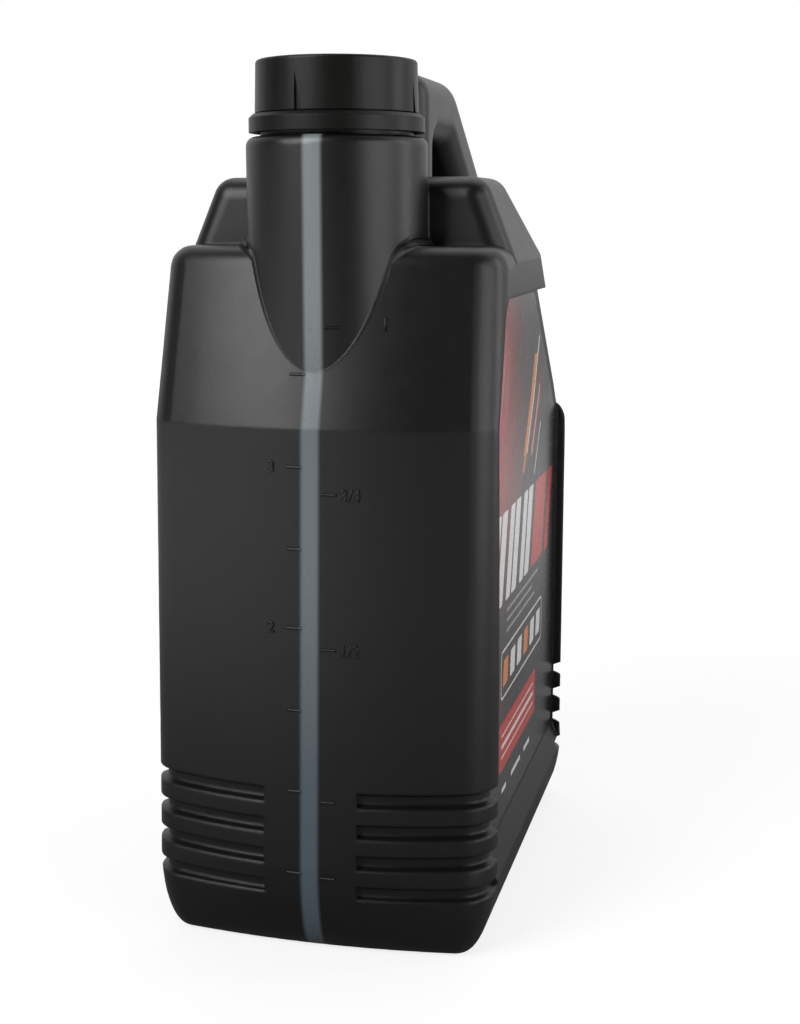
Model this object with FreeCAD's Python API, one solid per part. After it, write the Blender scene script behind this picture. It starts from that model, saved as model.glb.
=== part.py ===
"""Motor oil bottle: a four litre blow-moulded jug with a screw cap on a tall round neck.

Frame: millimetres, +Z up, origin at the middle of the flat base. The narrow pouring face looks to -X,
the grip is at +X, and the front label looks to -Y. Every size is the outside of the moulding unless it
says otherwise. The wall is made by drawing the same form again, one wall thickness inside its skin.
"""
import FreeCAD
import Part
import math
import os

from FreeCAD import Vector

os.makedirs("parts", exist_ok=True)

# Body, from the base up
LENGTH = 185.0
DEPTH = 115.4
WALL = 1.8
BASE_TUCK = 10.5
BASE_RISE = 30.0
BASE_SECTIONS = 7
BASE_END_RADIUS = 320.0
SEAM_Z = 130.0
CREASE_Z = 171.5
SHOULDER_Z = 227.0
SHOULDER_ROUND = 7.5
NEAR_DRAFT = 5.5
NEAR_LEAN = 14.5
SIDE_LEAN = 1.8
END_RADIUS = 150.0
CORNER = 13.0

# Upper block, behind the neck
BLOCK_SETBACK = 40.5
SHOULDER_LENGTH = 51.0
LIP_Z = 222.0
BLOCK_TOP = 249.0
BLOCK_LEAN_Z = 150.0
BLOCK_LEAN = 22.0
BLOCK_NEAR_LEAN = 4.0
BLOCK_ROUND = 7.5
BLOCK_LENGTH = 46.0
SLOPE_END_Z = 148.0

# Neck and its finish
NECK_SETBACK = 39.0
NECK_RADIUS = 29.0
NECK_TOP = 261.0
NECK_ROUND = 3.0
FINISH_RADIUS = 22.6
FINISH_WALL = 2.0
FINISH_HEIGHT = 20.7
COLLAR_RADIUS = 24.4
COLLAR_HEIGHT = 1.9
BEAD_RADIUS = 24.8
BEAD_RISE = 4.2
BEAD_HEIGHT = 1.8
THREAD_PITCH = 6.0
THREAD_DEPTH = 1.3
THREAD_RISE = 8.0
THREAD_TURNS = 1.5
THREAD_WIDTH = 2.2

# Grip
GRIP_WIDTH = 43.0
GRIP_THICK = 24.0
GRIP_RISE = 35.0
GRIP_ROOT_GAP = 2.0
GRIP_ROOT_THICK = 20.0
GRIP_BEND_SETBACK = 62.5
GRIP_FALL = 31.0
GRIP_ROUND = 8.5
GRIP_KNEE = 22.0
GRIP_ROOT_ROUND = 8.0
GAP_ROOF_THICK = 22.0
GAP_ROUND = 8.0

# Rib grooves at the four corners
RIB_COUNT = 4
RIB_FIRST_Z = 22.6
RIB_PITCH = 10.3
RIB_HEIGHT = 5.2
RIB_DEPTH = 2.6
RIB_FLARE = 1.2
RIB_END_Y = 15.5
RIB_SIDE_RUN = 5.0

# Label panels, front and back
PANEL_DEPTH = 4.7
PANEL_NEAR = 21.0
PANEL_FAR = 15.5
PANEL_BOTTOM = 19.5
PANEL_RAMP = 11.0
PANEL_TOP = 211.0
PANEL_TOP_SETBACK = 13.0
PANEL_CORNER = 10.0
LABEL_THICK = 0.3
LABEL_MARGIN = 1.6
LABEL_SLOPE_MARGIN = 10.0

# Cap, liner and tamper band
CAP_RADIUS = 26.0
CAP_DRAFT = 0.4
CAP_TOP_THICK = 1.8
CAP_WALL = 1.6
CAP_EDGE = 1.0
CAP_RISE = 7.3
LINER_THICK = 1.0
LINER_CLEARANCE = 0.4
THREAD_CLEARANCE = 0.5
BAND_RADIUS = 28.0
BAND_RISE = 1.3
BAND_GAP = 0.4
BAND_WALL = 1.5
BAND_CHAMFER = 1.2
BAND_HOOK = 1.6
HOOK_CLEARANCE = 0.3
HOOK_COUNT = 8
NOTCH_ANGLES = (166.0, 262.5, 346.0, 82.5)
NOTCH_TOP_INSET = 5.0
NOTCH_WIDTH = 2.4
NOTCH_DEPTH = 0.9

# Values that follow
NEAR_X = -LENGTH / 2
FAR_X = LENGTH / 2
HALF = DEPTH / 2
NECK_X = NEAR_X + NECK_SETBACK
BLOCK_X = NEAR_X + BLOCK_SETBACK
SHOULDER_X = NEAR_X + SHOULDER_LENGTH
SLOPE_START = BLOCK_X + BLOCK_LENGTH
GRIP_BEND_X = FAR_X - GRIP_BEND_SETBACK
GRIP_TOP = BLOCK_TOP + GRIP_RISE
GAP_ROOF_Z = GRIP_TOP - GAP_ROOF_THICK
FINISH_TOP = NECK_TOP + FINISH_HEIGHT
COLLAR_TOP = NECK_TOP + COLLAR_HEIGHT
BEAD_Z = NECK_TOP + BEAD_RISE
THREAD_BOTTOM = NECK_TOP + THREAD_RISE
CAP_BOTTOM = NECK_TOP + CAP_RISE
BAND_BOTTOM = NECK_TOP + BAND_RISE
REACH = LENGTH + DEPTH


def near_at(z):
    """Where the narrow pouring face crosses the middle plane at height z."""
    if z <= BASE_RISE:
        return NEAR_X
    if z <= CREASE_Z:
        return NEAR_X + NEAR_DRAFT * (z - BASE_RISE) / (CREASE_Z - BASE_RISE)
    return NEAR_X + NEAR_DRAFT + (z - CREASE_Z) * math.tan(math.radians(NEAR_LEAN))


def half_at(z):
    """Half the body's depth at height z: the sides lean in above the crease."""
    return HALF - max(0.0, z - CREASE_Z) * math.tan(math.radians(SIDE_LEAN))


def bow_at(z):
    """Radius of the bowed ends in plan at height z: they flatten towards the base."""
    low = min(1.0, z / BASE_RISE)
    return 1 / (low / END_RADIUS + (1 - low) / BASE_END_RADIUS)


def plan_points(z, half, inside):
    """The plan outline's points on the +Y side: both tips, then the near and the far corner's points."""
    radius = bow_at(z)
    level = half - CORNER
    corner = CORNER - inside
    tips = []
    corners = []
    for end, tip_x in ((-1, near_at(z)), (1, FAR_X)):
        bow = Vector(tip_x - end * radius, 0, 0)
        centre = Vector(bow.x + end * math.sqrt((radius - CORNER) ** 2 - level ** 2), level, 0)
        out = (centre - bow).normalize()
        middle = (out + Vector(0, 1, 0)).normalize()
        corners.append((bow + out * (radius - inside), centre + middle * corner, centre + Vector(0, corner, 0)))
        tips.append(Vector(tip_x - end * inside, 0, 0))
    return tips, corners[0], corners[1]


def plan_wire(z, half, inside):
    """Plan outline of the body at height z with this half depth, drawn that far inside its skin."""
    tips, near, far = plan_points(z, half, inside)
    lift = Vector(0, 0, z)

    def low(p):
        return Vector(p.x, -p.y, z)

    def high(p):
        return p + lift

    edges = [
        Part.Arc(low(near[0]), tips[0] + lift, high(near[0])).toShape(),
        Part.Arc(high(near[0]), high(near[1]), high(near[2])).toShape(),
        Part.makeLine(high(near[2]), high(far[2])),
        Part.Arc(high(far[2]), high(far[1]), high(far[0])).toShape(),
        Part.Arc(high(far[0]), tips[1] + lift, low(far[0])).toShape(),
        Part.Arc(low(far[0]), low(far[1]), low(far[2])).toShape(),
        Part.makeLine(low(far[2]), low(near[2])),
        Part.Arc(low(near[2]), low(near[1]), low(near[0])).toShape(),
    ]
    return Part.Wire(edges)


def edges_where(shape, test):
    """Edges whose bounding box passes the test."""
    return [edge for edge in shape.Edges if test(edge.BoundBox)]


def box(x0, x1, y0, y1, z0, z1):
    """A box between two corners."""
    return Part.makeBox(x1 - x0, y1 - y0, z1 - z0, Vector(x0, y0, z0))


def elevation(points, half):
    """A solid with this side outline in X and Z, from -half to half in Y."""
    corners = [Vector(x, -half, z) for x, z in points]
    face = Part.Face(Part.makePolygon(corners + corners[:1]))
    return face.extrude(Vector(0, 2 * half, 0))


def lower_body(inside):
    """The body from its flat base to the seam height. The base's rounding is drawn as a quarter oval."""
    wires = []
    for i in range(BASE_SECTIONS):
        turn = math.pi / 2 * i / (BASE_SECTIONS - 1)
        z = inside + (BASE_RISE - inside) * (1 - math.cos(turn))
        tuck = BASE_TUCK * (1 - math.sin(turn))
        wires.append(plan_wire(z, HALF, inside + tuck))
    base = Part.makeLoft(wires, True, False)
    wall = Part.makeLoft([plan_wire(z, HALF, inside) for z in (BASE_RISE, SEAM_Z)], True, True)
    return base.fuse(wall)


def near_shoulder(inside):
    """The pouring end above the seam height: it leans back above the crease to a round shoulder."""
    top = SHOULDER_Z - inside
    wires = [plan_wire(z, half_at(z), inside) for z in (SEAM_Z, CREASE_Z, top)]
    solid = Part.makeLoft(wires, True, True)
    rim = edges_where(solid, lambda b: b.ZMin > top - 0.01)
    solid = solid.makeFillet(SHOULDER_ROUND - inside, rim)
    end_x = SHOULDER_X - inside
    keep = box(-REACH, end_x, -REACH, REACH, SEAM_Z - 1, SHOULDER_Z + 1)
    return solid.common(keep)


def upper_block(inside):
    """The block behind the neck, with leaning sides and a slope that falls under the grip."""
    low = SEAM_Z
    top = BLOCK_TOP - inside
    start = BLOCK_X + inside
    lip_half = half_at(LIP_Z)
    rise = (HALF - lip_half) / (LIP_Z - BLOCK_LEAN_Z)
    halves = [(low, HALF), (BLOCK_LEAN_Z, HALF), (top, HALF - (top - BLOCK_LEAN_Z) * rise)]
    solid = Part.makeLoft([plan_wire(z, half, inside) for z, half in halves], True, True)
    lean = math.tan(math.radians(BLOCK_LEAN))
    side = [(lip_half - inside + (LIP_Z - low) * lean, low), (lip_half - inside - (top - LIP_Z) * lean, top)]
    points = [Vector(-REACH, y, z) for y, z in side]
    points += [Vector(-REACH, -y, z) for y, z in reversed(side)]
    solid = solid.common(Part.Face(Part.makePolygon(points + points[:1])).extrude(Vector(2 * REACH, 0, 0)))
    near_run = (top - low) * math.tan(math.radians(BLOCK_NEAR_LEAN))
    solid = solid.cut(elevation([(-REACH, low - 1), (start, low - 1), (start + near_run, top + 1),
                                 (-REACH, top + 1)], REACH))
    solid = solid.cut(above_slope(inside))
    near = edges_where(solid, lambda b: b.XMax < start + near_run + 1 and b.ZMax > LIP_Z + 1)
    crown = edges_where(solid, lambda b: b.ZMin > top - 0.01)
    fall = edges_where(solid, lambda b: b.ZMax > low + 1 and b.XMax > SLOPE_START + 5
                       and b.ZMax - b.ZMin > 1 and b.XMax - b.XMin > 1)
    chosen = []
    for edge in near + crown + fall:
        if not any(edge.isSame(other) for other in chosen):
            chosen.append(edge)
    return solid.makeFillet(BLOCK_ROUND - inside, chosen)


def above_slope(inside):
    """The space over the slope that falls from the block to the far end."""
    run = FAR_X - SLOPE_START
    fall = BLOCK_TOP - SLOPE_END_Z
    size = math.hypot(run, fall)
    shift = Vector(-fall / size, 0, -run / size) * inside
    extra = 0.4
    corners = [
        (SLOPE_START - run * extra, BLOCK_TOP + fall * extra),
        (FAR_X + run * extra, SLOPE_END_Z - fall * extra),
        (FAR_X + run * extra, BLOCK_TOP + fall * extra),
    ]
    return elevation([(x + shift.x, z + shift.z) for x, z in corners], REACH)


def rounded_profile(points, radii):
    """A closed wire in X and Z through the points, each corner rounded to its radius."""
    count = len(points)
    edges = []
    ends = []
    for i in range(count):
        here = Vector(points[i][0], 0, points[i][1])
        back = Vector(points[i - 1][0], 0, points[i - 1][1])
        ahead = Vector(points[(i + 1) % count][0], 0, points[(i + 1) % count][1])
        u = (back - here).normalize()
        v = (ahead - here).normalize()
        half_angle = u.getAngle(v) / 2
        radius = radii[i]
        run = radius / math.tan(half_angle)
        bisector = (u + v).normalize()
        centre = here + bisector * (radius / math.sin(half_angle))
        ends.append((here + u * run, centre - bisector * radius, here + v * run, radius))
    for i in range(count):
        start, middle, finish, radius = ends[i]
        if radius > 0:
            edges.append(Part.Arc(start, middle, finish).toShape())
        following = ends[(i + 1) % count][0]
        if finish.distanceToPoint(following) > 1e-6:
            edges.append(Part.makeLine(finish, following))
    return Part.Wire(edges)


def slab(wire, half):
    """A solid with this side outline, from -half to half in Y."""
    wire = wire.copy()
    wire.translate(Vector(0, -half, 0))
    return Part.Face(wire).extrude(Vector(0, 2 * half, 0))


def slope_z(x):
    """Height of the slope at x."""
    return BLOCK_TOP - (x - SLOPE_START) * (BLOCK_TOP - SLOPE_END_Z) / (FAR_X - SLOPE_START)


def grip(inside):
    """The hollow grip: an arch from behind the neck to the far end."""
    root_x = NECK_X + BAND_RADIUS + GRIP_ROOT_GAP
    fall = math.tan(math.radians(GRIP_FALL))
    drop = GRIP_THICK / math.cos(math.radians(GRIP_FALL))
    foot_z = SLOPE_END_Z - GRIP_ROUND
    deep_z = BLOCK_TOP - 3 * GRIP_ROUND
    outer = [
        (root_x + inside, deep_z), (root_x + inside, GRIP_TOP - inside),
        (GRIP_BEND_X, GRIP_TOP - inside), (FAR_X - inside, GRIP_TOP - inside - (FAR_X - GRIP_BEND_X) * fall),
        (FAR_X - inside, foot_z), (FAR_X - GRIP_THICK - GRIP_ROUND, foot_z),
    ]
    outer_radii = [0.0, GRIP_ROOT_ROUND - inside, GRIP_KNEE - inside, GRIP_KNEE - inside, 0.0, 0.0]
    body = slab(rounded_profile(outer, outer_radii), GRIP_WIDTH / 2 - inside)
    gap_x = root_x + GRIP_ROOT_THICK
    inner_far = FAR_X - GRIP_THICK
    roof_far_z = GRIP_TOP - (inner_far - GRIP_BEND_X) * fall - drop
    bend_x = GRIP_BEND_X - GRIP_THICK * math.tan(math.radians(GRIP_FALL / 2))
    gap = [
        (gap_x - inside, slope_z(gap_x) - 2 * GAP_ROUND), (gap_x - inside, GAP_ROOF_Z + inside),
        (bend_x, GAP_ROOF_Z + inside), (inner_far + inside, roof_far_z + inside),
        (inner_far + inside, slope_z(inner_far) - 2 * GAP_ROUND),
    ]
    gap_radii = [0.0, GAP_ROUND / 2, GAP_ROUND, GAP_ROUND + inside, 0.0]
    hole = slab(rounded_profile(gap, gap_radii), GRIP_WIDTH)
    solid = body.cut(hole)
    half = GRIP_WIDTH / 2 - inside
    flat = [e for e in solid.Edges
            if abs(abs(e.BoundBox.YMin) - half) < 0.01 and abs(e.BoundBox.YMax - e.BoundBox.YMin) < 0.01]
    skip = [e for e in flat if e.BoundBox.ZMax < foot_z + 0.01 or
            (e.BoundBox.ZMax < SHOULDER_Z and e.BoundBox.XMax < 0)]
    chosen = [e for e in flat if not any(e.isSame(s) for s in skip)]
    return solid.makeFillet(GRIP_ROUND - inside, chosen)


def neck(inside):
    """The tall round neck, with its rounded top edge."""
    radius = NECK_RADIUS - inside
    top = NECK_TOP - inside
    solid = Part.makeCylinder(radius, top - SEAM_Z, Vector(NECK_X, 0, SEAM_Z))
    rim = edges_where(solid, lambda b: b.ZMin > top - 0.01)
    solid = solid.makeFillet(NECK_ROUND - inside, rim)
    return solid


def panel_recess(inside):
    """What is cut from both sides for the label panels: they keep the lean of the sides."""
    near = NEAR_X + PANEL_NEAR - inside
    far = FAR_X - PANEL_FAR + inside
    low = PANEL_BOTTOM - inside
    top = PANEL_TOP + inside
    outline = [(near, low), (near, CREASE_Z), (near + PANEL_TOP_SETBACK, top), (FAR_X, top), (far, BLOCK_TOP - 60),
               (far, low)]
    radii = [PANEL_CORNER, PANEL_CORNER, PANEL_CORNER, 0.0, 0.0, PANEL_CORNER]
    solid = slab(rounded_profile(outline, radii), REACH)
    depth = PANEL_DEPTH + inside
    floor = [(HALF + 1, low - 1), (HALF - depth, low + PANEL_RAMP), (HALF - depth, CREASE_Z),
             (half_at(top + 1) - depth, top + 1)]
    points = [Vector(-REACH, y, z) for y, z in floor]
    points += [Vector(-REACH, -y, z) for y, z in reversed(floor)]
    core = Part.Face(Part.makePolygon(points + points[:1])).extrude(Vector(2 * REACH, 0, 0))
    return solid.cut(core)


def rib_groove(z, inside, far_end, side):
    """One groove: along the bowed end from beside the middle, round the corner, a little along the side."""
    tips, near, far = plan_points(z, HALF, 0.0)
    tip, corner = (tips[1], far) if far_end else (tips[0], near)
    radius = bow_at(z)
    centre = Vector(tip.x - math.copysign(radius, tip.x), 0, 0)
    start_y = RIB_END_Y - inside
    start = centre + Vector(math.copysign(math.sqrt(radius ** 2 - start_y ** 2), tip.x), start_y, 0)
    between = centre + ((start + corner[0]) * 0.5 - centre).normalize() * radius
    finish = corner[2] - Vector(math.copysign(RIB_SIDE_RUN + inside, tip.x), 0, 0)
    path = Part.Wire([Part.Arc(start, between, corner[0]).toShape(),
                      Part.Arc(corner[0], corner[1], corner[2]).toShape(),
                      Part.makeLine(corner[2], finish)])
    out = (start - centre).normalize()
    mouth = RIB_HEIGHT / 2 + RIB_FLARE + inside
    floor = RIB_HEIGHT / 2 - RIB_FLARE + inside
    deep = RIB_DEPTH + inside
    corners = [(RIB_DEPTH, mouth), (-deep, floor), (-deep, -floor), (RIB_DEPTH, -mouth)]
    profile = Part.makePolygon([start + out * u + Vector(0, 0, v) for u, v in corners + corners[:1]])
    groove = path.makePipeShell([profile], True, False)
    groove.translate(Vector(0, 0, z))
    if side < 0:
        groove = groove.mirror(Vector(0, 0, 0), Vector(0, 1, 0))
    return groove


def rib_grooves(inside):
    """All the grooves, four at each corner."""
    return [rib_groove(RIB_FIRST_Z + i * RIB_PITCH, inside, far_end, side)
            for i in range(RIB_COUNT) for far_end in (False, True) for side in (-1, 1)]


def jug(inside):
    """The whole jug form, drawn that far inside its skin, without its finish."""
    solid = lower_body(inside).fuse([near_shoulder(inside), upper_block(inside), grip(inside)])
    solid = solid.cut([panel_recess(inside)] + rib_grooves(inside))
    return solid.fuse(neck(inside))


def ring(outer, inner, z0, z1):
    """A plain ring on the neck's axis."""
    centre = Vector(NECK_X, 0, z0)
    solid = Part.makeCylinder(outer, z1 - z0, centre)
    return solid.cut(Part.makeCylinder(inner, z1 - z0, centre))


def turned(points):
    """A solid turned about the neck's axis from points of radius and height."""
    corners = [Vector(NECK_X + r, 0, z) for r, z in points]
    face = Part.Face(Part.makePolygon(corners + corners[:1]))
    return face.revolve(Vector(NECK_X, 0, 0), Vector(0, 0, 1), 360)


def thread_ridge(root, depth, bottom, turns):
    """A right-handed ridge: outwards from the root radius, or inwards where the depth is negative."""
    helix = Part.makeHelix(THREAD_PITCH, THREAD_PITCH * turns, root)
    base = THREAD_WIDTH / 2
    tip = base * 0.4
    sunk = math.copysign(0.4, depth)
    points = [Vector(root - sunk, 0, -base), Vector(root + depth, 0, -tip), Vector(root + depth, 0, tip),
              Vector(root - sunk, 0, base)]
    profile = Part.makePolygon(points + points[:1])
    ridge = Part.Wire(helix.Edges).makePipeShell([profile], True, True)
    ridge.translate(Vector(NECK_X, 0, bottom))
    return ridge


def finish():
    """The neck finish above the round neck: collar, locking bead, thread and mouth."""
    bore = FINISH_RADIUS - FINISH_WALL
    low = NECK_TOP - WALL
    solid = turned([(bore, low), (COLLAR_RADIUS, low), (COLLAR_RADIUS, COLLAR_TOP),
                    (FINISH_RADIUS, COLLAR_TOP + 0.6), (FINISH_RADIUS, BEAD_Z - BEAD_HEIGHT / 2),
                    (BEAD_RADIUS, BEAD_Z - BEAD_HEIGHT / 4), (BEAD_RADIUS, BEAD_Z),
                    (FINISH_RADIUS, BEAD_Z + BEAD_HEIGHT), (FINISH_RADIUS, FINISH_TOP - 0.6),
                    (FINISH_RADIUS - 0.6, FINISH_TOP), (bore, FINISH_TOP)])
    return solid.fuse(thread_ridge(FINISH_RADIUS, THREAD_DEPTH, THREAD_BOTTOM, THREAD_TURNS))


def make_bottle():
    """The hollow bottle in one piece: jug, hollow grip, neck and finish."""
    outer = jug(0.0)
    inner = jug(WALL)
    bore = Part.makeCylinder(FINISH_RADIUS - FINISH_WALL, FINISH_TOP - SHOULDER_Z + 2,
                             Vector(NECK_X, 0, SHOULDER_Z - 1))
    return outer.fuse(finish()).cut(inner).cut(bore)


def make_cap():
    """The screw cap: a skirt with a closed top, four notched steps and an inner thread."""
    top = FINISH_TOP + LINER_THICK + CAP_TOP_THICK
    inner = CAP_RADIUS - CAP_WALL
    solid = turned([(0, top - CAP_TOP_THICK), (inner, top - CAP_TOP_THICK), (inner, CAP_BOTTOM),
                    (CAP_RADIUS, CAP_BOTTOM), (CAP_RADIUS - CAP_DRAFT, top), (0, top)])
    edge = edges_where(solid, lambda b: b.ZMin > top - 0.01 and b.XMax - b.XMin > CAP_RADIUS)
    solid = solid.makeFillet(CAP_EDGE, edge)
    start = THREAD_BOTTOM + THREAD_PITCH / 2 + THREAD_PITCH
    reach = FINISH_RADIUS + THREAD_CLEARANCE - inner
    ridge = thread_ridge(inner, reach, start - THREAD_PITCH, THREAD_TURNS - 0.25)
    notches = []
    for angle in NOTCH_ANGLES:
        tall = top - NOTCH_TOP_INSET - CAP_BOTTOM
        wedge = Part.Face(Part.makePolygon([
            Vector(CAP_RADIUS + 1, 0, CAP_BOTTOM + tall), Vector(CAP_RADIUS + 1, NOTCH_WIDTH, CAP_BOTTOM - 1),
            Vector(CAP_RADIUS + 1, 0, CAP_BOTTOM - 1), Vector(CAP_RADIUS + 1, 0, CAP_BOTTOM + tall)]))
        wedge = wedge.extrude(Vector(-1 - NOTCH_DEPTH, 0, 0))
        wedge.rotate(Vector(0, 0, 0), Vector(0, 0, 1), angle)
        wedge.translate(Vector(NECK_X, 0, 0))
        notches.append(wedge)
    return solid.fuse(ridge).cut(notches)


def make_band():
    """The tamper band that stays on the neck: it hooks under the finish's bead."""
    top = CAP_BOTTOM - BAND_GAP
    inner = BAND_RADIUS - BAND_WALL
    solid = turned([(inner, BAND_BOTTOM), (BAND_RADIUS, BAND_BOTTOM), (BAND_RADIUS, top - BAND_CHAMFER),
                    (BAND_RADIUS - BAND_CHAMFER, top), (BEAD_RADIUS + HOOK_CLEARANCE, top),
                    (BEAD_RADIUS + HOOK_CLEARANCE, top - BAND_CHAMFER), (inner, top - 2 * BAND_CHAMFER)])
    hook_top = BEAD_Z - BEAD_HEIGHT / 2 - HOOK_CLEARANCE
    hooks = []
    for i in range(HOOK_COUNT):
        hook = ring(inner + 0.2, COLLAR_RADIUS + HOOK_CLEARANCE, BAND_BOTTOM, hook_top)
        wedge = box(0, REACH, -BAND_HOOK, BAND_HOOK, BAND_BOTTOM - 1, hook_top + 1)
        wedge.rotate(Vector(0, 0, 0), Vector(0, 0, 1), 360 * (i + 0.5) / HOOK_COUNT)
        wedge.translate(Vector(NECK_X, 0, 0))
        hooks.append(hook.common(wedge))
    return solid.fuse(hooks)


def make_liner():
    """The sealing disc that sits on the mouth, inside the cap."""
    radius = CAP_RADIUS - CAP_WALL - LINER_CLEARANCE
    return Part.makeCylinder(radius, LINER_THICK, Vector(NECK_X, 0, FINISH_TOP))


def make_label(side):
    """A thin printed label that lies on the panel and bends with it at the crease."""
    near = NEAR_X + PANEL_NEAR + LABEL_MARGIN
    far = FAR_X - PANEL_FAR - LABEL_MARGIN
    low = PANEL_BOTTOM + PANEL_RAMP + LABEL_MARGIN
    top = PANEL_TOP - LABEL_MARGIN
    cut_x = SLOPE_START + (BLOCK_TOP - top) * (FAR_X - SLOPE_START) / (BLOCK_TOP - SLOPE_END_Z) - LABEL_SLOPE_MARGIN
    cut_z = slope_z(far + LABEL_SLOPE_MARGIN)
    outline = [(near, low), (near, CREASE_Z), (near + PANEL_TOP_SETBACK, top), (cut_x, top), (far, cut_z),
               (far, low)]
    radius = PANEL_CORNER - LABEL_MARGIN
    solid = slab(rounded_profile(outline, [radius] * len(outline)), REACH)
    depth = PANEL_DEPTH
    skin = [(HALF - depth, low - 1), (HALF - depth, CREASE_Z), (half_at(top + 1) - depth, top + 1)]
    points = [Vector(-REACH, y, z) for y, z in skin]
    points += [Vector(-REACH, y + LABEL_THICK, z) for y, z in reversed(skin)]
    sheet = Part.Face(Part.makePolygon(points + points[:1])).extrude(Vector(2 * REACH, 0, 0))
    if side < 0:
        sheet = sheet.mirror(Vector(0, 0, 0), Vector(0, 1, 0))
    return solid.common(sheet)


PIECES = {
    "bottle": make_bottle,
    "cap": make_cap,
    "cap_liner": make_liner,
    "tamper_band": make_band,
    "front_label": lambda: make_label(-1),
    "back_label": lambda: make_label(1),
}

for name, make in PIECES.items():
    shape = make()
    shape.exportStep("parts/" + name + ".step")
    print(name, shape.isValid(), len(shape.Solids), round(shape.Volume / 1000, 2), "ml")
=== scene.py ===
import math

import bmesh
import bpy
from mathutils import Matrix, Vector


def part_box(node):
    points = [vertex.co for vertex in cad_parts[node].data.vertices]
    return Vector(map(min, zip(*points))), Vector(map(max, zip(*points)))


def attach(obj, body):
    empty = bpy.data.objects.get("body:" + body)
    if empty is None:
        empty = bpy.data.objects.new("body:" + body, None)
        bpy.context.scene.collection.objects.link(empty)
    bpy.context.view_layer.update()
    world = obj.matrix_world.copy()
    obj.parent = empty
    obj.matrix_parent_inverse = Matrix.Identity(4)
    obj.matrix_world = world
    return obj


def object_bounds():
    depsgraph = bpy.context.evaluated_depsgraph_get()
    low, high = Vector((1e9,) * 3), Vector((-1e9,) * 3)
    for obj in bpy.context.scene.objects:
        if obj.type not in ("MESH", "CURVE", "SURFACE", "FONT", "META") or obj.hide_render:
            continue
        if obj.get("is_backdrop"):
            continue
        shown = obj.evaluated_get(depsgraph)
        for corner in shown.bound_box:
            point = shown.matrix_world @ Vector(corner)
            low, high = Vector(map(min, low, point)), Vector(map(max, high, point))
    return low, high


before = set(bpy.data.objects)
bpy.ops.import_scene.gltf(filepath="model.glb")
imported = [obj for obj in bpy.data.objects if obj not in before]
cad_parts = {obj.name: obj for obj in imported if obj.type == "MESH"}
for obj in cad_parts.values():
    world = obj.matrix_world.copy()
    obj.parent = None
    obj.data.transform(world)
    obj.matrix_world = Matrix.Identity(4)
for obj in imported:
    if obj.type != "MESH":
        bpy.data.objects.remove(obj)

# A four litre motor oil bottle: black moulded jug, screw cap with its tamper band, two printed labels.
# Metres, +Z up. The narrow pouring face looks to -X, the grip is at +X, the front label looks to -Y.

CAD_LOW, CAD_HIGH = (Vector(corner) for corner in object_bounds())
CAP_LOW, CAP_HIGH = (Vector(corner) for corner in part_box("cap"))

# Form of the pouring face, as moulded
NECK_X = (CAP_LOW.x + CAP_HIGH.x) / 2
NECK_RADIUS = 0.029
NECK_TOP = 0.261
BASE_RISE = 0.030
CREASE_Z = 0.1715
FACE_DRAFT = 0.0055
FACE_LEAN = math.radians(14.5)
FACE_BOW = 0.150
SHOULDER_Z = 0.227
SHOULDER_ROUND = 0.0075

# Blend where the neck runs into the shoulder
FLARE_RADIUS = 0.0036
FLARE_REACH = math.radians(118.0)
FLARE_STEPS = 120
FLARE_ARC = 10
FLARE_SUNK = 0.0008
FLARE_SEARCH_DROP = 0.020
FLARE_SEARCH_STEPS = 40
FLARE_PROBE = 0.00005

# View stripe down the middle of the neck and the pouring face, and the heights where its painted backlight
# brightens
STRIPE_HALF = 0.0028
STRIPE_SOFT = 0.0009
STRIPE_LOW_ZONE = (0.030, 0.140)
STRIPE_NECK_ZONE = (0.170, 0.215)

# Raised volume marks beside the stripe
MARK_PROUD = 0.0006
MARK_SUNK = 0.0003
MARK_EDGE = 0.0004
FIGURE_EDGE = 0.0002
TICK_LENGTH = 0.0050
TICK_HEIGHT = 0.0009
LEFT_TICK_Y = 0.0051
RIGHT_TICK_Y = -0.0062
LITRE_TICKS = (0.0284, 0.0556, 0.0822, 0.1088, 0.1340, 0.1598, 0.1882)
QUARTER_TICKS = (0.0273, 0.0526, 0.1023, 0.1515, 0.2027)
NUMERAL_HEIGHT = 0.0037
NUMERAL_FONT_SIZE = 1.38 * NUMERAL_HEIGHT
LITRE_NUMERALS = (("2", 0.0140, 0.1088), ("3", 0.0140, 0.1598))
QUARTER_NUMERALS = (("1/2", -0.0098, 0.1023), ("3/4", -0.0098, 0.1515), ("1", -0.0205, 0.2040))

# Camera, fitted to the photograph
CAMERA_PLACE = Vector((-0.5590, -0.1440, 0.2371))
CAMERA_YAW = math.radians(13.715)
CAMERA_PITCH = math.radians(10.503)
CAMERA_LENS = 56.55
SENSOR_WIDTH = 36.0


# Surface of the pouring face

def face_x(y, z):
    """Where the pouring face lies at this y and z."""
    if z < CREASE_Z:
        tip = CAD_LOW.x + FACE_DRAFT * (z - BASE_RISE) / (CREASE_Z - BASE_RISE)
    else:
        tip = CAD_LOW.x + FACE_DRAFT + (z - CREASE_Z) * math.tan(FACE_LEAN)
    return tip + FACE_BOW - math.sqrt(FACE_BOW ** 2 - y ** 2)


def skin_x(y, z):
    """The outermost of the pouring face and the round neck."""
    if abs(y) >= NECK_RADIUS:
        return face_x(y, z)
    return min(face_x(y, z), NECK_X - math.sqrt(NECK_RADIUS ** 2 - y ** 2))


# Node graph helpers

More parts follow.
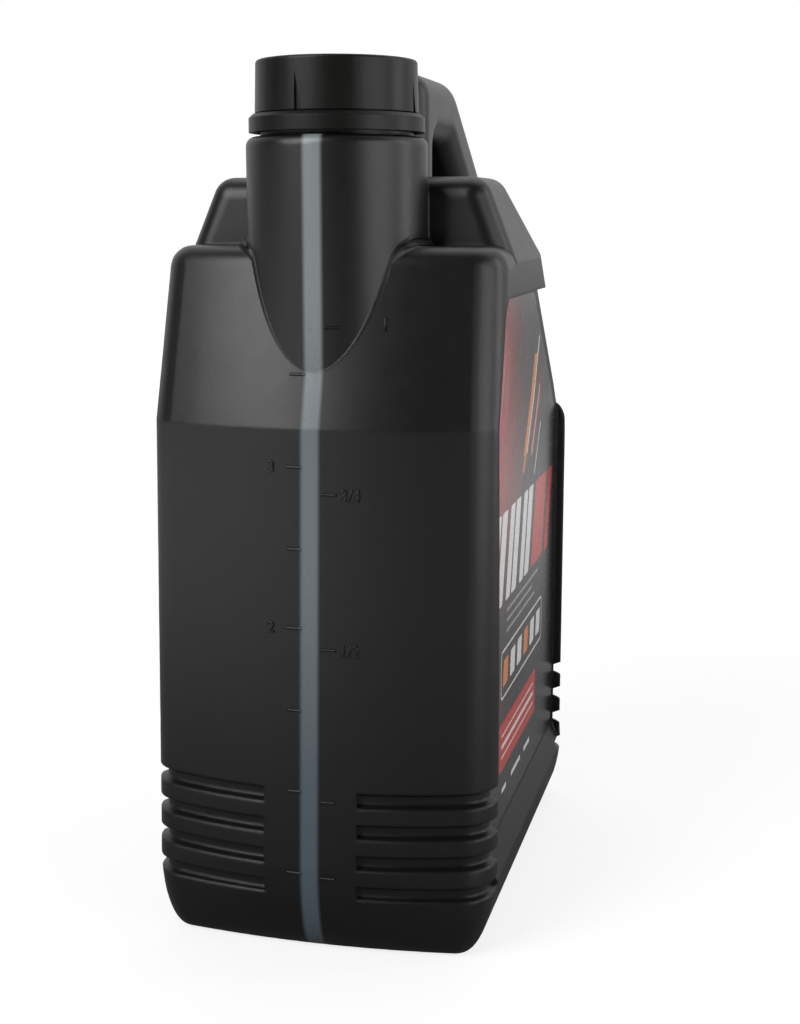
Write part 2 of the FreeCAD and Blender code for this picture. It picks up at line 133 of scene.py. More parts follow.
class Graph:
    """Short calls for the nodes of one material, group or world."""

    def __init__(self, tree):
        self.tree = tree

    def add(self, kind, **settings):
        node = self.tree.nodes.new(kind)
        for name, value in settings.items():
            setattr(node, name, value)
        return node

    def feed(self, socket, value):
        if isinstance(value, bpy.types.NodeSocket):
            self.tree.links.new(value, socket)
        elif value is not None:
            socket.default_value = value

    def math(self, operation, *values, clamp=False):
        node = self.add("ShaderNodeMath", operation=operation, use_clamp=clamp)
        for socket, value in zip(node.inputs, values):
            self.feed(socket, value)
        return node.outputs[0]

    def ramp(self, value, low, high, to_low=0.0, to_high=1.0, smooth=True):
        node = self.add("ShaderNodeMapRange", interpolation_type="SMOOTHSTEP" if smooth else "LINEAR")
        for socket, entry in zip(node.inputs, (value, low, high, to_low, to_high)):
            self.feed(socket, entry)
        return node.outputs[0]

    def noise(self, place, scale, detail):
        node = self.add("ShaderNodeTexNoise")
        self.feed(node.inputs["Vector"], place)
        node.inputs["Scale"].default_value = scale
        node.inputs["Detail"].default_value = detail
        return node.outputs["Fac"]

    def axes(self, place):
        node = self.add("ShaderNodeSeparateXYZ")
        self.feed(node.inputs[0], place)
        return node.outputs

    def mix(self, factor, first, second):
        node = self.add("ShaderNodeMix", data_type="RGBA")
        self.feed(node.inputs["Factor"], factor)
        self.feed(node.inputs[6], first)
        self.feed(node.inputs[7], second)
        return node.outputs[2]

    def group(self, tree, **values):
        node = self.add("ShaderNodeGroup")
        node.node_tree = tree
        for name, value in values.items():
            self.feed(node.inputs[name.replace("_", " ")], value)
        return node.outputs


# Patterns per metre in moulded plastic
GRAIN_SCALE = 2600.0
WAVE_SCALE = 45.0
MOTTLE_SCALE = 160.0


def new_group(name, inputs, outputs):
    """An empty shader node group with float sockets, and its input and output nodes."""
    tree = bpy.data.node_groups.new(name, "ShaderNodeTree")
    for label in inputs:
        kind = "NodeSocketVector" if label == "Place" else "NodeSocketFloat"
        tree.interface.new_socket(label, in_out="INPUT", socket_type=kind)
    for label in outputs:
        tree.interface.new_socket(label, in_out="OUTPUT", socket_type="NodeSocketFloat")
    graph = Graph(tree)
    return graph, graph.add("NodeGroupInput").outputs, graph.add("NodeGroupOutput").inputs


def moulded_grain_group():
    """Fine spark grain and broad waviness of blow-moulded plastic, as a height and a shift of gloss."""
    graph, given, result = new_group("moulded grain", ("Place", "Grain", "Waves"), ("Height", "Gloss Shift"))
    grain = graph.math("MULTIPLY", graph.noise(given["Place"], GRAIN_SCALE, 2.0), given["Grain"])
    waves = graph.math("MULTIPLY", graph.noise(given["Place"], WAVE_SCALE, 3.0), given["Waves"])
    graph.feed(result["Height"], graph.math("ADD", grain, waves))
    mottle = graph.noise(given["Place"], MOTTLE_SCALE, 4.0)
    graph.feed(result["Gloss Shift"], graph.math("SUBTRACT", mottle, 0.5))
    return graph.tree


def printed_shape_group():
    """Mask of a rounded box, slanted if wanted. It is a disc when its corners are as round as it is wide."""
    names = ("U", "V", "Centre U", "Centre V", "Half U", "Half V", "Slant", "Round", "Soft")
    graph, given, result = new_group("printed shape", names, ("Mask",))
    v = graph.math("SUBTRACT", given["V"], given["Centre V"])
    slanted = graph.math("MULTIPLY", given["Slant"], v)
    u = graph.math("SUBTRACT", graph.math("SUBTRACT", given["U"], given["Centre U"]), slanted)
    straight_u = graph.math("SUBTRACT", given["Half U"], given["Round"])
    straight_v = graph.math("SUBTRACT", given["Half V"], given["Round"])
    past_u = graph.math("SUBTRACT", graph.math("ABSOLUTE", u), straight_u)
    past_v = graph.math("SUBTRACT", graph.math("ABSOLUTE", v), straight_v)
    out_u = graph.math("MAXIMUM", past_u, 0.0)
    out_v = graph.math("MAXIMUM", past_v, 0.0)
    outside = graph.math("SQRT", graph.math("ADD", graph.math("MULTIPLY", out_u, out_u),
                                            graph.math("MULTIPLY", out_v, out_v)))
    inside = graph.math("MINIMUM", graph.math("MAXIMUM", past_u, past_v), 0.0)
    distance = graph.math("SUBTRACT", graph.math("ADD", outside, inside), given["Round"])
    soft = given["Soft"]
    graph.feed(result["Mask"], graph.ramp(distance, graph.math("MULTIPLY", soft, -1.0), soft, 1.0, 0.0))
    return graph.tree


MOULDED_GRAIN = moulded_grain_group()
PRINTED_SHAPE = printed_shape_group()


def new_material(name):
    """A material with an empty graph, its Principled shader and this object's own coordinates."""
    material = bpy.data.materials.new(name)
    material.use_nodes = True
    graph = Graph(material.node_tree)
    shader = material.node_tree.nodes["Principled BSDF"]
    place = graph.add("ShaderNodeTexCoord").outputs["Object"]
    return material, graph, shader, place


def add_relief(graph, shader, height, depth, edge_round):
    """Height as bump, over edges that are softened by the mould's own small radius."""
    bevel = graph.add("ShaderNodeBevel", samples=4)
    bevel.inputs["Radius"].default_value = edge_round
    bump = graph.add("ShaderNodeBump")
    bump.inputs["Distance"].default_value = depth
    graph.feed(bump.inputs["Height"], height)
    graph.feed(bump.inputs["Normal"], bevel.outputs["Normal"])
    graph.feed(shader.inputs["Normal"], bump.outputs["Normal"])


# Materials. Mottle is how far gloss varies in patches, relief the height of the bump in metres, and edge round
# the radius that softens edges. The stripe is smoother by some roughness and calm in a share of the relief.

BODY_BLACK = (0.0036, 0.0036, 0.0038, 1.0)
# The stripe's own pale translucent colour, with painted light shining through it from behind: darkest at the
# foot, brighter on the face, brightest up the neck.
STRIPE_LOW = (0.080, 0.104, 0.126, 1.0)
STRIPE_FACE = (0.135, 0.157, 0.175, 1.0)
STRIPE_NECK = (0.210, 0.228, 0.230, 1.0)
BODY_ROUGHNESS = 0.36
BODY_MOTTLE = 0.06
BODY_RELIEF = 0.00009
BODY_SPECULAR = 0.45
BODY_EDGE_ROUND = 0.0014
MARK_EDGE_ROUND = 0.00012
STRIPE_SMOOTHER = 0.08
STRIPE_CALM = 0.85

CAP_BLACK = (0.0030, 0.0030, 0.0025, 1.0)
CAP_ROUGHNESS = 0.36
BAND_BLACK = (0.0032, 0.0031, 0.0026, 1.0)
BAND_ROUGHNESS = 0.38
CAP_MOTTLE = 0.08
CAP_RELIEF = 0.00006
CAP_SPECULAR = 0.26
CAP_EDGE_ROUND = 0.0004
FLOW_SCALE = 420.0
FLOW_STRETCH = 0.12
FLOW_LIGHTER = 1.7

FOAM_LIGHT = (0.72, 0.72, 0.69, 1.0)
FOAM_SHADE = (0.60, 0.60, 0.57, 1.0)
FOAM_CELLS = 1800.0
FOAM_RELIEF = 0.00008
FOAM_EDGE_ROUND = 0.0002

FILM_ROUGHNESS = 0.27
FILM_MOTTLE = 0.08
FILM_COAT = 0.5
FILM_COAT_ROUGHNESS = 0.15
FILM_RELIEF = 0.00005
FILM_EDGE_ROUND = 0.0002


def body_plastic(name, edge_round):
    """Black jug plastic with the translucent view stripe down the pouring side, its colour brightening upwards
    with painted backlight.
    """
    material, graph, shader, place = new_material(name)
    x, y, z = graph.axes(place)
    across = graph.math("ABSOLUTE", y)
    stripe = graph.ramp(across, STRIPE_HALF - STRIPE_SOFT, STRIPE_HALF + STRIPE_SOFT, 1.0, 0.0)
    stripe = graph.math("MULTIPLY", stripe, graph.math("LESS_THAN", x, NECK_X))
    stripe = graph.math("MULTIPLY", stripe, graph.math("LESS_THAN", z, NECK_TOP))
    # Painted backlight: the stripe's colour brightens with height, from the foot to the face and up the neck.
    stripe_and_backlight = graph.mix(graph.ramp(z, *STRIPE_LOW_ZONE), STRIPE_LOW, STRIPE_FACE)
    stripe_and_backlight = graph.mix(graph.ramp(z, *STRIPE_NECK_ZONE), stripe_and_backlight, STRIPE_NECK)
    graph.feed(shader.inputs["Base Color"], graph.mix(stripe, BODY_BLACK, stripe_and_backlight))
    grain = graph.group(MOULDED_GRAIN, Place=place, Grain=0.35, Waves=1.0)
    rough = graph.math("ADD", BODY_ROUGHNESS, graph.math("MULTIPLY", grain["Gloss Shift"], BODY_MOTTLE))
    smoother = graph.math("MULTIPLY", stripe, STRIPE_SMOOTHER)
    graph.feed(shader.inputs["Roughness"], graph.math("SUBTRACT", rough, smoother))
    relief_kept = graph.math("SUBTRACT", 1.0, graph.math("MULTIPLY", stripe, STRIPE_CALM))
    height = graph.math("MULTIPLY", grain["Height"], relief_kept)
    add_relief(graph, shader, height, BODY_RELIEF, edge_round)
    shader.inputs["Specular IOR Level"].default_value = BODY_SPECULAR
    return material


def cap_plastic(name, colour, roughness):
    """Injection-moulded cap plastic, faintly olive, with flow lines that run up the skirt."""
    material, graph, shader, place = new_material(name)
    stretch = graph.add("ShaderNodeMapping")
    graph.feed(stretch.inputs["Vector"], place)
    stretch.inputs["Location"].default_value = (-NECK_X, 0.0, 0.0)
    stretch.inputs["Scale"].default_value = (1.0, 1.0, FLOW_STRETCH)
    lines = graph.noise(stretch.outputs["Vector"], FLOW_SCALE, 3.0)
    grain = graph.group(MOULDED_GRAIN, Place=place, Grain=0.5, Waves=0.3)
    lighter = tuple(channel * FLOW_LIGHTER for channel in colour[:3]) + (1.0,)
    graph.feed(shader.inputs["Base Color"], graph.mix(graph.ramp(lines, 0.35, 0.75), colour, lighter))
    rough = graph.math("ADD", roughness, graph.math("MULTIPLY", grain["Gloss Shift"], CAP_MOTTLE))
    graph.feed(shader.inputs["Roughness"], rough)
    shader.inputs["Specular IOR Level"].default_value = CAP_SPECULAR
    add_relief(graph, shader, graph.math("ADD", grain["Height"], lines), CAP_RELIEF, CAP_EDGE_ROUND)
    return material


def liner_foam():
    """White pressed foam with an even fine cell."""
    material, graph, shader, place = new_material("liner_foam")
    cells = graph.add("ShaderNodeTexVoronoi")
    graph.feed(cells.inputs["Vector"], place)
    cells.inputs["Scale"].default_value = FOAM_CELLS
    depth = cells.outputs["Distance"]
    graph.feed(shader.inputs["Base Color"], graph.mix(depth, FOAM_LIGHT, FOAM_SHADE))
    shader.inputs["Roughness"].default_value = 0.7
    add_relief(graph, shader, depth, FOAM_RELIEF, FOAM_EDGE_ROUND)
    return material


# Printed labels. Places are millimetres: across to the reader's right from the middle, and up from the floor.

INK_BLACK = (0.010, 0.009, 0.010, 1.0)
INK_RED = (0.55, 0.022, 0.016, 1.0)
INK_DEEP_RED = (0.20, 0.018, 0.014, 1.0)
INK_PINK = (0.72, 0.34, 0.30, 1.0)
INK_ORANGE = (0.75, 0.22, 0.03, 1.0)
INK_WHITE = (0.80, 0.80, 0.79, 1.0)
INK_GREY = (0.30, 0.30, 0.31, 1.0)
INK_SOFT = 0.15
SLANT = 0.32
MM_IN_METRE = 1000.0


class Print:
    """Layers of flat ink on a label, in millimetres across and up."""

    def __init__(self, graph, u, v):
        self.graph = graph
        self.u = u
        self.v = v
        self.colour = INK_BLACK

    def mask(self, across, up, half_across, half_up, slant=0.0, corner=0.3, soft=INK_SOFT):
        shape = self.graph.group(PRINTED_SHAPE, U=self.u, V=self.v, Centre_U=across, Centre_V=up,
                                 Half_U=half_across, Half_V=half_up, Slant=slant, Round=corner, Soft=soft)
        return shape["Mask"]

    def ink(self, mask, colour):
        self.colour = self.graph.mix(mask, self.colour, colour)

    def bar(self, across, up, half_across, half_up, colour, slant=0.0, corner=0.3, soft=INK_SOFT):
        self.ink(self.mask(across, up, half_across, half_up, slant, corner, soft), colour)

    def ring(self, across, up, radius, width, colour):
        outer = self.mask(across, up, radius, radius, 0.0, radius)
        inner = self.mask(across, up, radius - width, radius - width, 0.0, radius - width)
        self.ink(self.graph.math("SUBTRACT", outer, inner, clamp=True), colour)

    def frame(self, across, up, half_across, half_up, width, colour, corner):
        outer = self.mask(across, up, half_across, half_up, 0.0, corner)
        inner = self.mask(across, up, half_across - width, half_up - width, 0.0, corner - width)
        self.ink(self.graph.math("SUBTRACT", outer, inner, clamp=True), colour)


def print_red_glow(ink):
    """Red light that fades from the top left corner, with slanted streaks in it."""
    graph = ink.graph
    along = graph.ramp(ink.u, -72.0, 2.0, 1.0, 0.0)
    high = graph.ramp(ink.v, 96.0, 160.0)
    glow = graph.math("MULTIPLY", along, high)
    ink.ink(graph.math("MULTIPLY", glow, 0.95), INK_RED)
    blooms = ((-70.0, 158.0, 6.0, 30.0, 0.5), (-52.0, 184.0, 18.0, 10.0, 0.3))
    for across, up, half, half_up, strength in blooms:
        bloom = ink.mask(across, up, half, half_up, 0.2, 6.0, 9.0)
        ink.ink(graph.math("MULTIPLY", bloom, strength), INK_PINK)
    streaks = ((-48.0, 1.6, 0.55), (-36.0, 3.2, 0.4), (-22.0, 1.2, 0.6), (-8.0, 4.5, 0.25))
    for across, width, strength in streaks:
        streak = ink.mask(across, 168.0, width, 36.0, 0.55, 0.5, 1.2)
        ink.ink(graph.math("MULTIPLY", streak, strength), INK_DEEP_RED)
    low = graph.math("MULTIPLY", graph.ramp(ink.v, 52.0, 74.0), graph.ramp(ink.v, 78.0, 104.0, 1.0, 0.0))
    left = graph.ramp(ink.u, -64.0, -20.0, 1.0, 0.0)
    ink.ink(graph.math("MULTIPLY", graph.math("MULTIPLY", low, left), 0.45), INK_DEEP_RED)


def print_light_streaks(ink):
    """Leaning streaks of light above the middle of the front label."""
    for step in range(5):
        ink.bar(-2.0 + 9.0 * step, 158.0 + 3.0 * step, 1.1, 20.0 - 2.0 * step, INK_DEEP_RED, 0.9, 0.8, 0.4)
    for across, up, half, half_up, colour in (
            (6.0, 160.0, 1.6, 13.0, INK_ORANGE),
            (12.0, 170.0, 2.8, 17.0, INK_ORANGE),
            (18.5, 173.0, 0.9, 20.0, INK_WHITE),
            (23.0, 163.0, 1.3, 12.0, INK_PINK),
            (28.0, 152.0, 0.7, 9.0, INK_WHITE)):
        ink.bar(across, up, half, half_up, colour, 0.75, 0.6, 0.5)


def print_slanted_bars(ink):
    """Three pairs of white bars and two red ones, all across the middle of the front label."""
    for pair in range(3):
        ink.bar(-55.0 + 27.0 * pair, 124.0, 4.2, 15.5, INK_WHITE, SLANT, 1.2)
        ink.bar(-43.5 + 27.0 * pair, 124.0, 4.8, 15.5, INK_WHITE, SLANT, 1.2)
    for across, half in ((34.0, 13.0), (57.0, 4.5)):
        ink.bar(across, 124.0, half, 15.5, INK_RED, SLANT, 1.2)


def print_front(ink):
    """Front label: light streaks over slanted bars, rules, a frame of small squares and a red field."""
    print_red_glow(ink)
    print_light_streaks(ink)
    print_slanted_bars(ink)
    for row, half in enumerate((34.0, 27.0, 30.0)):
        ink.bar(-34.0 + half, 104.5 - 3.6 * row, half, 0.55, INK_GREY, 0.0, 0.5)
    ink.frame(0.0, 83.5, 44.0, 8.6, 0.8, INK_WHITE, 3.0)
    for step in range(6):
        ink.bar(-35.0 + 14.0 * step, 83.5, 4.6, 4.6, INK_WHITE if step % 3 else INK_ORANGE, SLANT * 0.5, 1.0)
    ink.bar(-8.0, 58.0, 38.0, 8.4, INK_RED, 0.0, 1.2)
    ink.bar(-8.0, 58.0, 33.5, 0.8, INK_WHITE, 0.0, 0.5)
    ink.bar(-8.0, 61.8, 33.5, 0.35, INK_WHITE, 0.0, 0.3)
    ink.bar(-8.0, 54.2, 33.5, 0.35, INK_WHITE, 0.0, 0.3)
    for step, half in enumerate((7.0, 16.0, 11.0)):
        ink.bar(-36.0 + 24.0 * step, 42.0, half * 0.6, 0.9, INK_WHITE, 0.0, 0.5)


def print_back(ink):
    """Back label: the same red light over plain blocks, rules, a row of rings and a red bar."""
    print_red_glow(ink)
    for across, half, colour in ((-30.0, 10.0, INK_WHITE), (-4.0, 10.0, INK_RED), (17.0, 5.0, INK_WHITE)):
        ink.bar(across, 166.0, half, 8.5, colour, SLANT, 1.6)
    for row in range(12):
        half = 44.0 - 5.0 * ((row * 7) % 4)
        ink.bar(-48.0 + half, 148.0 - 4.4 * row, half, 0.6, INK_GREY, 0.0, 0.5)
    ink.frame(4.0, 78.0, 52.0, 11.0, 0.7, INK_GREY, 2.0)
    for step in range(5):
        ink.ring(-34.0 + 19.0 * step, 78.0, 6.4, 1.1, INK_ORANGE if step % 2 else INK_WHITE)
    ink.bar(0.0, 54.0, 48.0, 6.5, INK_RED, 0.0, 1.2)
    for row in range(2):
        ink.bar(-10.0, 42.5 - 3.6 * row, 38.0, 0.5, INK_GREY, 0.0, 0.4)


def label_film(name, side, design):
    """Glossy printed film: ink under a clear coat, with a faint ripple where it was pressed on."""
    material, graph, shader, place = new_material(name)
    x, _, z = graph.axes(place)
    ink = Print(graph, graph.math("MULTIPLY", x, MM_IN_METRE * side), graph.math("MULTIPLY", z, MM_IN_METRE))
    design(ink)
    graph.feed(shader.inputs["Base Color"], ink.colour)
    grain = graph.group(MOULDED_GRAIN, Place=place, Grain=0.05, Waves=1.0)
    rough = graph.math("ADD", FILM_ROUGHNESS, graph.math("MULTIPLY", grain["Gloss Shift"], FILM_MOTTLE))
    graph.feed(shader.inputs["Roughness"], rough)
    shader.inputs["Coat Weight"].default_value = FILM_COAT
    shader.inputs["Coat Roughness"].default_value = FILM_COAT_ROUGHNESS
    add_relief(graph, shader, grain["Height"], FILM_RELIEF, FILM_EDGE_ROUND)
    return material


def dress(node, material):
    """Gives a CAD node its finished material."""
    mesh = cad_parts[node].data
    mesh.materials.clear()
    mesh.materials.append(material)


MARK_PLASTIC = body_plastic("mark_plastic", MARK_EDGE_ROUND)
BODY_PLASTIC = body_plastic("body_plastic", BODY_EDGE_ROUND)
dress("bottle", BODY_PLASTIC)
dress("cap", cap_plastic("cap_plastic", CAP_BLACK, CAP_ROUGHNESS))
dress("tamper_band", cap_plastic("band_plastic", BAND_BLACK, BAND_ROUGHNESS))
dress("cap_liner", liner_foam())
dress("front_label", label_film("front_label_film", 1.0, print_front))
dress("back_label", label_film("back_label_film", -1.0, print_back))


# Pieces on the pouring side

def finish_piece(name, shape, material, body):
    """Makes an object of a bmesh, with its faces outwards, and ties it to its body and slot."""
    bmesh.ops.recalc_face_normals(shape, faces=shape.faces[:])
    mesh = bpy.data.meshes.new(name)
    shape.to_mesh(mesh)
    shape.free()
    mesh.materials.append(material)
    piece = bpy.data.objects.new(name, mesh)
    bpy.context.scene.collection.objects.link(piece)
    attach(piece, body)
    return piece


def press_on_face(vertices):
    """Lays vertices on the pouring side's skin: x under zero stands proud of it, the rest is sunk in it."""
    for vertex in vertices:
        vertex.co.x += skin_x(vertex.co.y, vertex.co.z)


def join_shape(shape, part):
    """Adds one bmesh to another and frees it."""
    mesh = bpy.data.meshes.new("part")
    part.to_mesh(mesh)
    part.free()
    shape.from_mesh(mesh)
    bpy.data.meshes.remove(mesh)


def add_bar(shape, y, z, width, height):
    """One raised bar with rounded edges."""
    bar = bmesh.new()
    bmesh.ops.create_cube(bar, size=1.0)
    bmesh.ops.scale(bar, vec=(MARK_PROUD + MARK_SUNK, width, height), verts=bar.verts)
    bmesh.ops.translate(bar, vec=((MARK_SUNK - MARK_PROUD) / 2, y, z), verts=bar.verts)
    front = [edge for edge in bar.edges if all(vertex.co.x < 0 for vertex in edge.verts)]
    bmesh.ops.bevel(bar, geom=front, offset=MARK_EDGE, segments=3, profile=0.5, affect="EDGES", material=-1)
    press_on_face(bar.verts)
    join_shape(shape, bar)


def add_numeral(shape, words, y, z):
    """Plain figures, standing right way up when seen from the pouring side."""
    curve = bpy.data.curves.new("figures", "FONT")
    curve.body = words
    curve.size = NUMERAL_FONT_SIZE
    curve.extrude = (MARK_PROUD + MARK_SUNK) / 2 - FIGURE_EDGE
    curve.bevel_depth = FIGURE_EDGE
    curve.bevel_resolution = 2
    curve.offset = -FIGURE_EDGE / 2
    curve.resolution_u = 4
    carrier = bpy.data.objects.new("figures", curve)
    bpy.context.scene.collection.objects.link(carrier)
    bpy.context.view_layer.update()
    mesh = bpy.data.meshes.new_from_object(carrier)
    bpy.data.objects.remove(carrier)
    figures = bmesh.new()
    figures.from_mesh(mesh)
    bpy.data.meshes.remove(mesh)
    bmesh.ops.remove_doubles(figures, verts=figures.verts, dist=0.00001)
    for vertex in figures.verts:
        across, up, out = vertex.co
        vertex.co = ((MARK_SUNK - MARK_PROUD) / 2 - out, y - across, z - NUMERAL_HEIGHT / 2 + up)
    press_on_face(figures.verts)
    join_shape(shape, figures)


def shoulder_gap(x, y, z):
    """How far a point stands outside the pouring end's skin: its leaning face, rounded rim and flat top."""
    lean = Vector((-math.cos(FACE_LEAN), 0.0, math.sin(FACE_LEAN)))
    bow = FACE_BOW - math.sqrt(FACE_BOW ** 2 - y ** 2)
    crease = Vector((CAD_LOW.x + FACE_DRAFT, 0.0, CREASE_Z))
    face = (Vector((x - bow, 0.0, z)) - crease).dot(lean)
    top = z - SHOULDER_Z
    # The rim's centre lies one radius inside both skins, which turn away from each other by this cosine
    cosine = lean.z
    past_face = face + SHOULDER_ROUND
    past_top = top + SHOULDER_ROUND
    if past_face > past_top * cosine and past_top > past_face * cosine and min(past_face, past_top) > 0.0:
        square = past_face ** 2 + past_top ** 2 - 2 * past_face * past_top * cosine
        return math.sqrt(square / (1 - cosine ** 2)) - SHOULDER_ROUND
    return max(face, top)


def flare_centre(turn):
    """Centre of the blend's arc at this turn about the neck, and the ways out of the neck and shoulder."""
    out = Vector((-math.cos(turn), math.sin(turn), 0.0))
    spine = Vector((NECK_X, 0.0, 0.0)) + out * (NECK_RADIUS + FLARE_RADIUS)
    low = CREASE_Z - FLARE_SEARCH_DROP
    high = SHOULDER_Z + 2 * FLARE_RADIUS
    for _ in range(FLARE_SEARCH_STEPS):
        middle = (low + high) / 2
        if shoulder_gap(spine.x, spine.y, middle) > FLARE_RADIUS:
            high = middle
        else:
            low = middle
    centre = Vector((spine.x, spine.y, high))
    probes = [axis * FLARE_PROBE for axis in Matrix.Identity(3)]
    rises = [shoulder_gap(*(centre + probe)) - shoulder_gap(*(centre - probe)) for probe in probes]
    return centre, out, Vector(rises).normalized()


def flare_section(turn):
    """Closed outline of the blend at this turn: its arc from neck to shoulder, then under both skins."""
    centre, out, slope = flare_centre(turn)
    angle = out.angle(slope)
    section = []
    for step in range(FLARE_ARC + 1):
        share = step / FLARE_ARC
        ray = out * math.sin((1 - share) * angle) + slope * math.sin(share * angle)
        section.append(centre - ray.normalized() * FLARE_RADIUS)
    section.append(centre - slope * (FLARE_RADIUS + FLARE_SUNK))
    section.append(centre - out * (FLARE_RADIUS + FLARE_SUNK))
    return section


def extrude_ring(shape, ring, section):
    """Extrudes a closed ring of corners and lays the new ring on the next section."""
    edges = [shape.edges.get(ends) for ends in zip(ring, ring[1:] + ring[:1])]
    grown = set(bmesh.ops.extrude_edge_only(shape, edges=edges)["geom"])
    following = []
    for corner, point in zip(ring, section):
        beside = [edge.other_vert(corner) for edge in corner.link_edges]
        fresh = next(vertex for vertex in beside if vertex in grown)
        fresh.co = point
        following.append(fresh)
    return following


def make_neck_flare():
    """Concave blend all round the neck's foot on the pouring side, closed below its skin."""
    shape = bmesh.new()
    turns = [FLARE_REACH * (2 * step / FLARE_STEPS - 1) for step in range(FLARE_STEPS + 1)]
    ring = [shape.verts.new(point) for point in flare_section(turns[0])]
    shape.faces.new(ring)
    for turn in turns[1:]:
        ring = extrude_ring(shape, ring, flare_section(turn))
    shape.faces.new(ring)
    for face in shape.faces:
        face.smooth = len(face.verts) == 4
    finish_piece("neck_flare", shape, BODY_PLASTIC, "bottle")


def make_marks(name, tick_y, tick_heights, numerals):
    """One scale of ticks and figures beside the stripe."""
    shape = bmesh.new()
    for z in tick_heights:
        add_bar(shape, tick_y, z, TICK_LENGTH, TICK_HEIGHT)
    for words, y, z in numerals:
        add_numeral(shape, words, y, z)
    finish_piece(name, shape, MARK_PLASTIC, "bottle")


make_neck_flare()
make_marks("litre_marks", LEFT_TICK_Y, LITRE_TICKS, LITRE_NUMERALS)
make_marks("quarter_marks", RIGHT_TICK_Y, QUARTER_TICKS, QUARTER_NUMERALS)


# Floor, light and camera

TARGET = Vector((0.0, 0.0, 0.15))
FLOOR_HALF = 6.0
FLOOR_FADE = (0.25, 0.9)
FLOOR_NEAR_LEVEL = 0.80

# Bearings in radians, from -X towards +Y, between which the floor carries a painted pool of light that only
# reflections see, and its reach from the middle
PAINTED_POOL_FROM = (-0.45, 0.45)
PAINTED_POOL_TO = (1.1, 1.9)
PAINTED_POOL_REACH = (0.34, 1.05)

# The world's levels in front of the bottle and behind it, and the share of +X over which they change
ROOM_LEVEL = 0.035
BEHIND_LEVEL = 0.75
BEHIND_SPAN = (-0.15, 0.55)


def direction(azimuth, elevation):
    """A unit vector: azimuth is turned from -X towards +Y, in degrees."""
    turn = math.radians(azimuth)
    rise = math.radians(elevation)
    return Vector((-math.cos(turn) * math.cos(rise), math.sin(turn) * math.cos(rise), math.sin(rise)))


def add_softbox(name, azimuth, elevation, distance, width, height, radiance):
    """A soft rectangular light that faces the bottle, as bright as that many whites."""
    data = bpy.data.lights.new(name, "AREA")
    data.shape = "RECTANGLE"
    data.size = width
    data.size_y = height
    data.energy = radiance * math.pi * width * height
    light = bpy.data.objects.new(name, data)
    out = direction(azimuth, elevation)
    light.location = TARGET + out * distance
    light.rotation_euler = out.to_track_quat("Z", "Y").to_euler()
    bpy.context.scene.collection.objects.link(light)


add_softbox("left_softbox", 34.0, 35.0, 1.3, 0.76, 0.95, 6.2)
add_softbox("right_softbox", -66.0, 14.0, 1.2, 0.85, 0.9, 2.6)
add_softbox("rim_strip", -108.0, 16.0, 1.2, 0.18, 1.1, 5.0)
add_softbox("top_softbox", 180.0, 70.0, 1.3, 1.2, 1.0, 0.8)


def grey(level):
    """A grey of this level, as a colour."""
    return (level, level, level, 1.0)


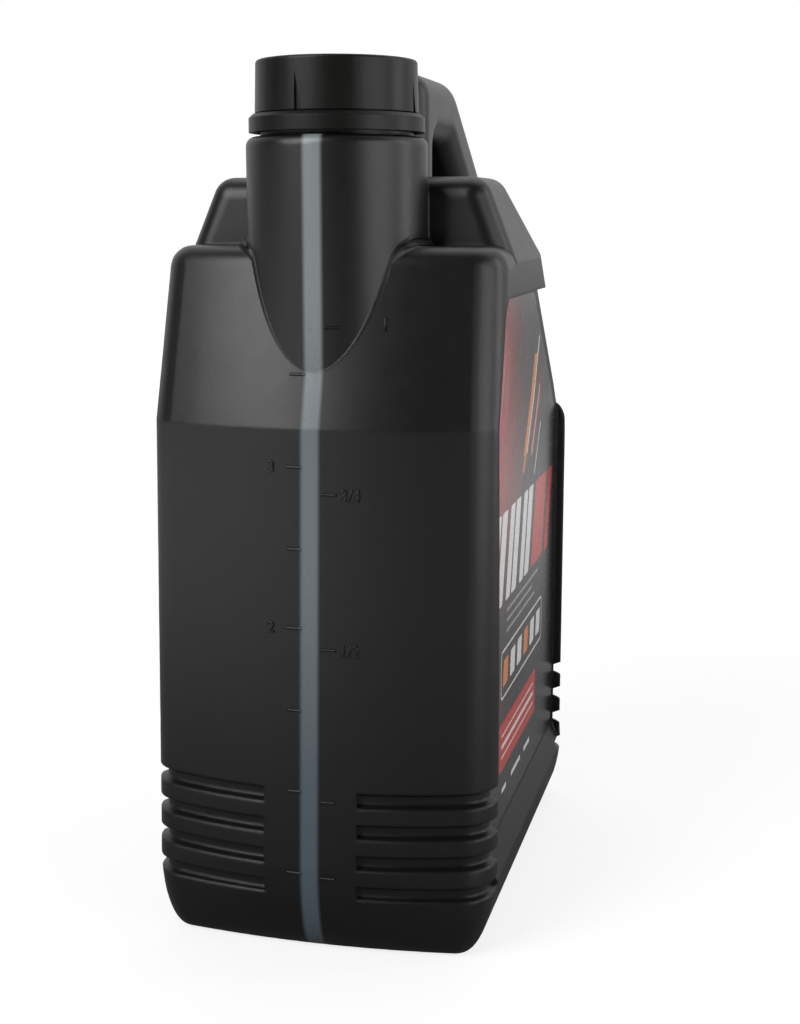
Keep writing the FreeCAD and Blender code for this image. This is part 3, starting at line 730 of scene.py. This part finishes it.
def floor_paint():
    """White to the camera away from the bottle's shadow. In reflections it carries painted shade, darker near
    the bottle, and a painted pool of light ahead and left of it.
    """
    material, graph, shader, place = new_material("floor_paint")
    length = graph.add("ShaderNodeVectorMath", operation="LENGTH")
    graph.feed(length.inputs[0], place)
    reach = length.outputs["Value"]
    far = graph.ramp(reach, *FLOOR_FADE)
    rays = graph.add("ShaderNodeLightPath").outputs
    camera_ray = rays["Is Camera Ray"]
    seen = graph.mix(far, grey(0.20), grey(0.0))
    # Painted shade: rays other than the camera's see the floor darker near the bottle and paler further off.
    shaded_in_reflections = graph.mix(far, grey(0.20), grey(0.70))
    graph.feed(shader.inputs["Base Color"], graph.mix(camera_ray, shaded_in_reflections, seen))
    x, y, _ = graph.axes(place)
    # Painted pool of light: the floor glows ahead and left of the bottle, for glossy rays only.
    bearing = graph.math("ARCTAN2", y, graph.math("MULTIPLY", x, -1.0))
    ahead = graph.math("MULTIPLY", graph.ramp(bearing, *PAINTED_POOL_FROM), graph.ramp(bearing, *PAINTED_POOL_TO, 1.0, 0.0))
    painted_pool = graph.math("MULTIPLY", ahead, graph.ramp(reach, *PAINTED_POOL_REACH))
    painted_pool = graph.math("MULTIPLY", painted_pool, rays["Is Glossy Ray"])
    shown = graph.math("MULTIPLY", graph.mix(far, grey(FLOOR_NEAR_LEVEL), grey(1.0)), camera_ray)
    graph.feed(shader.inputs["Emission Strength"], graph.math("ADD", shown, painted_pool))
    shader.inputs["Emission Color"].default_value = grey(1.0)
    shader.inputs["Roughness"].default_value = 0.8
    return material


def make_floor():
    """A pale floor that keeps the bottle's shadow."""
    shape = bmesh.new()
    bmesh.ops.create_grid(shape, x_segments=1, y_segments=1, size=FLOOR_HALF)
    mesh = bpy.data.meshes.new("floor")
    shape.to_mesh(mesh)
    shape.free()
    mesh.materials.append(floor_paint())
    floor = bpy.data.objects.new("floor", mesh)
    bpy.context.scene.collection.objects.link(floor)
    floor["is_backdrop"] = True


def make_world():
    """White to the camera. Reflections see white behind the bottle and a dim room in front of it."""
    world = bpy.data.worlds.new("studio")
    world.use_nodes = True
    bpy.context.scene.world = world
    graph = Graph(world.node_tree)
    background = world.node_tree.nodes["Background"]
    toward_x, _, _ = graph.axes(graph.add("ShaderNodeTexCoord").outputs["Generated"])
    room = graph.mix(graph.ramp(toward_x, *BEHIND_SPAN), grey(ROOM_LEVEL), grey(BEHIND_LEVEL))
    camera_ray = graph.add("ShaderNodeLightPath").outputs["Is Camera Ray"]
    graph.feed(background.inputs["Color"], graph.mix(camera_ray, room, grey(1.0)))


def make_camera():
    """The photograph's view."""
    data = bpy.data.cameras.new("camera")
    data.lens = CAMERA_LENS
    data.sensor_width = SENSOR_WIDTH
    camera = bpy.data.objects.new("camera", data)
    level = math.cos(CAMERA_PITCH)
    look = Vector((math.cos(CAMERA_YAW) * level, math.sin(CAMERA_YAW) * level, -math.sin(CAMERA_PITCH)))
    camera.location = CAMERA_PLACE
    camera.rotation_euler = look.to_track_quat("-Z", "Y").to_euler()
    bpy.context.scene.collection.objects.link(camera)
    bpy.context.scene.camera = camera


make_floor()
make_world()
make_camera()
bpy.context.scene.view_settings.view_transform = "Standard"
